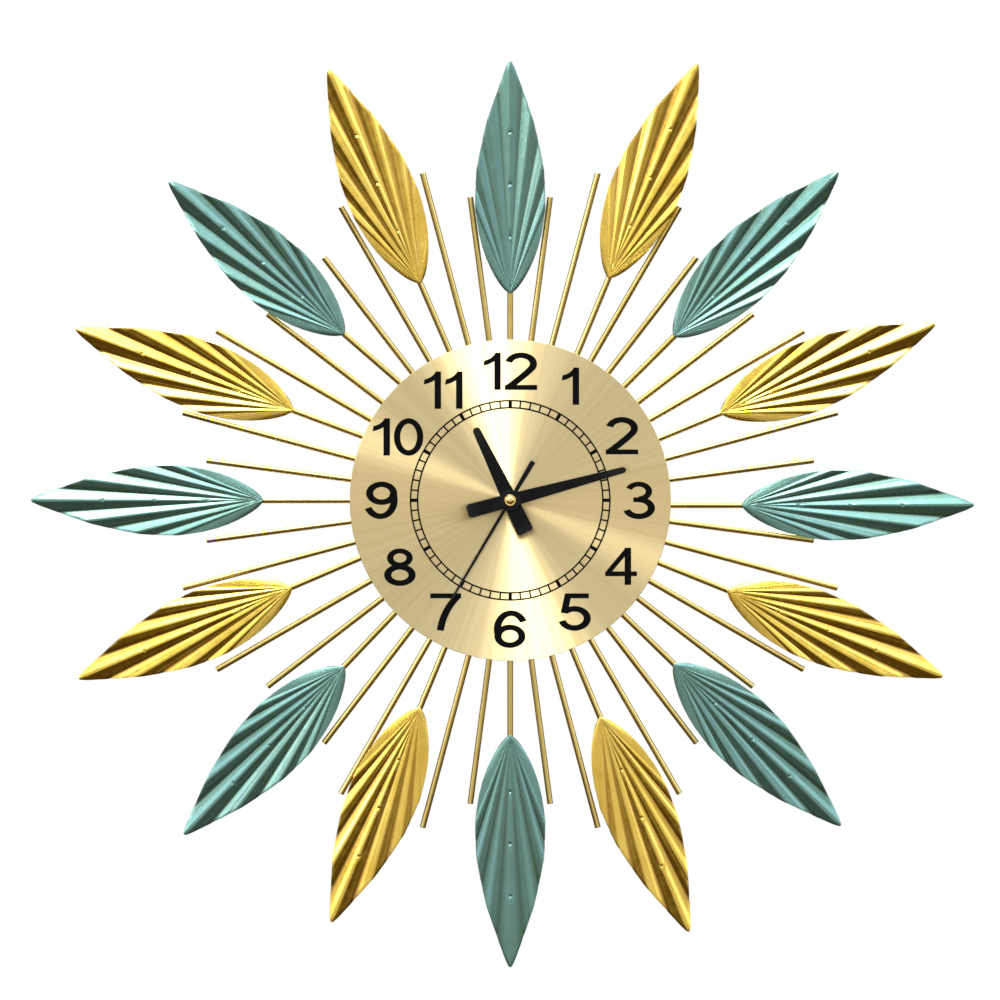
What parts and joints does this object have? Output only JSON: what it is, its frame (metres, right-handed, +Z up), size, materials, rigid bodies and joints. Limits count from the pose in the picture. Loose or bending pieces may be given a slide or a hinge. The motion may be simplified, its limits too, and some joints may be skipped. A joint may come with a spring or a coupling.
{
  "type": "wall clock",
  "caption": "Sunburst wall clock: round brushed dial with numerals and black hands, a ring of thin rods and pleated metal leaves in teal and gold, quartz movement behind.",
  "frame": {"origin": "where the axis of the hands meets the wall, on the flat back of the movement's cover", "axes": "+Y points into the wall, so the dial faces -Y; +Z is up, to 12 o'clock; +X is to the right, to 3 o'clock"},
  "size_m": [0.7045, 0.0326, 0.677],
  "materials": {
    "leaf_teal": "translucent teal lacquer over pressed metal, glossy, with bright creases",
    "leaf_gold": "antique gold foil finish on pressed metal, glossy, darker in the valleys",
    "rod_gold": "brass-gold plated steel wire and plate, satin gloss, slightly tarnished",
    "dial_champagne": "champagne-gold anodised, finely brushed in circles, so that light fans out in sectors",
    "hand_black": "black enamel, semi-gloss",
    "cap_brass": "polished",
    "nut_brass": "machined, satin",
    "hanger_steel": "zinc-plated sheet steel",
    "contact_metal": "nickel-plated spring strip",
    "rubber": "soft black foam rubber",
    "case_plastic": "black moulded ABS, fine spark texture",
    "white_plastic": "natural acetal, moulded",
    "gear_brass": "machined brass",
    "rotor_magnet": "sintered magnet with a moulded pinion, drawn in one colour",
    "circuit_board": "green solder mask",
    "coil_copper": "enamelled copper winding on its bobbin",
    "battery_wrap": "plain printed wrap with no lettering"
  },
  "bodies": {
    "clock": {"leaf_01": "leaf_teal", "leaf_stem_01": "rod_gold", "leaf_02": "leaf_gold", "leaf_stem_02": "rod_gold", "leaf_03": "leaf_teal", "leaf_stem_03": "rod_gold", "leaf_04": "leaf_gold", "leaf_stem_04": "rod_gold", "leaf_05": "leaf_teal", "leaf_stem_05": "rod_gold", "leaf_06": "leaf_gold", "leaf_stem_06": "rod_gold", "leaf_07": "leaf_teal", "leaf_stem_07": "rod_gold", "leaf_08": "leaf_gold", "leaf_stem_08": "rod_gold", "leaf_09": "leaf_teal", "leaf_stem_09": "rod_gold", "leaf_10": "leaf_gold", "leaf_stem_10": "rod_gold", "leaf_11": "leaf_teal", "leaf_stem_11": "rod_gold", "leaf_12": "leaf_gold", "leaf_stem_12": "rod_gold", "leaf_13": "leaf_teal", "leaf_stem_13": "rod_gold", "leaf_14": "leaf_gold", "leaf_stem_14": "rod_gold", "leaf_15": "leaf_teal", "leaf_stem_15": "rod_gold", "leaf_16": "leaf_gold", "leaf_stem_16": "rod_gold", "dial_disc": "dial_champagne", "ray_plate": "rod_gold", "shaft_nut": "nut_brass", "gasket": "rubber", "hanger_bracket": "hanger_steel", "bumper_left": "rubber", "bumper_right": "rubber", "movement_front_case": "case_plastic", "movement_back_cover": "case_plastic", "train_plate": "white_plastic", "circuit_board": "circuit_board", "coil_bobbin": "coil_copper", "stator_plate": "hanger_steel", "contact_positive": "contact_metal", "contact_negative": "contact_metal"},
    "second": {"second_hand": "hand_black", "second_cap": "cap_brass", "second_wheel": "gear_brass"},
    "minute": {"minute_hand": "hand_black", "centre_wheel": "gear_brass"},
    "hour": {"hour_hand": "hand_black", "hour_wheel": "white_plastic"},
    "third": {"third_wheel": "white_plastic"},
    "fifth": {"fifth_wheel": "white_plastic"},
    "rotor": {"rotor": "rotor_magnet"},
    "motion": {"motion_wheel": "white_plastic"},
    "knob": {"setting_knob": "white_plastic"},
    "battery": {"battery": "battery_wrap"}
  },
  "joints": [
    {"name": "second_spin", "type": "hinge", "parent": "clock", "child": "second", "pos_m": [0, 0, 0], "axis": [0, 1, 0], "continuous": true},
    {"name": "minute_spin", "type": "hinge", "parent": "clock", "child": "minute", "pos_m": [0, 0, 0], "axis": [0, 1, 0], "continuous": true},
    {"name": "hour_spin", "type": "hinge", "parent": "clock", "child": "hour", "pos_m": [0, 0, 0], "axis": [0, 1, 0], "continuous": true},
    {"name": "third_spin", "type": "hinge", "parent": "clock", "child": "third", "pos_m": [-0.00935, 0, 0.0054], "axis": [0, 1, 0], "continuous": true},
    {"name": "fifth_spin", "type": "hinge", "parent": "clock", "child": "fifth", "pos_m": [0.00541, 0, 0.00541], "axis": [0, 1, 0], "continuous": true},
    {"name": "rotor_spin", "type": "hinge", "parent": "clock", "child": "rotor", "pos_m": [0.0123, 0, 0.00662], "axis": [0, 1, 0], "continuous": true},
    {"name": "motion_spin", "type": "hinge", "parent": "clock", "child": "motion", "pos_m": [0.00827, 0, -0.00146], "axis": [0, 1, 0], "continuous": true},
    {"name": "knob_spin", "type": "hinge", "parent": "clock", "child": "knob", "pos_m": [0.01654, 0, -0.00292], "axis": [0, 1, 0], "continuous": true},
    {"name": "battery_slide", "type": "slide", "parent": "clock", "child": "battery", "axis": [0, 1, 0], "range_m": [0, 0.02]}
  ],
  "couplings": [
    {"joint": "minute_spin", "follows": "second_spin", "ratio": 0.016667},
    {"joint": "hour_spin", "follows": "second_spin", "ratio": 0.0013889},
    {"joint": "third_spin", "follows": "second_spin", "ratio": -0.13333},
    {"joint": "fifth_spin", "follows": "second_spin", "ratio": -5},
    {"joint": "rotor_spin", "follows": "second_spin", "ratio": 30},
    {"joint": "motion_spin", "follows": "second_spin", "ratio": -0.0055556},
    {"joint": "knob_spin", "follows": "second_spin", "ratio": 0.016667}
  ]
}
